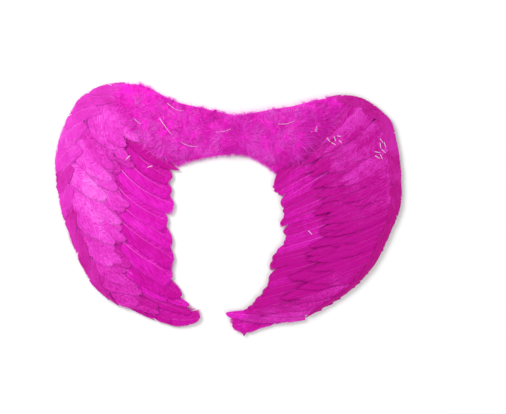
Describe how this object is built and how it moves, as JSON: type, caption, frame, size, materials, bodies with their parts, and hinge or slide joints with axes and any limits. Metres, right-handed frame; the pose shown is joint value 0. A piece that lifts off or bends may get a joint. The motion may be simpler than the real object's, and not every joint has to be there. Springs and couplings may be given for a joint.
{
  "type": "feather angel wings",
  "caption": "Curved feather costume wings on a card board, joined by a downy bridge, with elastic shoulder bands behind.",
  "frame": {"origin": "centre of the footprint, on the surface that the wings lie on", "axes": "+X along the span, +Y from the wing tips to the shoulders, +Z out of the feathered front"},
  "size_m": [0.6017, 0.4354, 0.0227],
  "materials": {
    "card": "matte, dyed",
    "elastic": "ribbed woven elastic",
    "flight_feather": "dyed feather, silky",
    "covert_feather": "dyed feather, soft",
    "rim_feather": "dyed feather, silky",
    "down": "dyed fluffy down"
  },
  "bodies": {
    "root": {"backing_board": "card", "shoulder_strap_left": "elastic", "shoulder_strap_right": "elastic", "flight_feather_left_01": "flight_feather", "flight_feather_left_02": "flight_feather", "flight_feather_left_03": "flight_feather", "flight_feather_left_04": "flight_feather", "flight_feather_left_05": "flight_feather", "flight_feather_left_06": "flight_feather", "flight_feather_left_07": "flight_feather", "flight_feather_left_08": "flight_feather", "flight_feather_left_09": "flight_feather", "flight_feather_left_10": "flight_feather", "flight_feather_left_11": "flight_feather", "flight_feather_left_12": "flight_feather", "flight_feather_left_13": "flight_feather", "flight_feather_right_01": "flight_feather", "flight_feather_right_02": "flight_feather", "flight_feather_right_03": "flight_feather", "flight_feather_right_04": "flight_feather", "flight_feather_right_05": "flight_feather", "flight_feather_right_06": "flight_feather", "flight_feather_right_07": "flight_feather", "flight_feather_right_08": "flight_feather", "flight_feather_right_09": "flight_feather", "flight_feather_right_10": "flight_feather", "flight_feather_right_11": "flight_feather", "flight_feather_right_12": "flight_feather", "flight_feather_right_13": "flight_feather", "flight_feather_right_14": "flight_feather", "flight_feather_right_15": "flight_feather", "covert_row_left_1": "covert_feather", "covert_row_left_2": "covert_feather", "covert_row_left_3": "covert_feather", "covert_row_right_1": "covert_feather", "covert_row_right_2": "covert_feather", "covert_row_right_3": "covert_feather", "rim_row_left": "rim_feather", "rim_row_right": "rim_feather", "down_ruff_left": "down", "down_ruff_bridge": "down", "down_ruff_right": "down"}
  },
  "joints": []
}
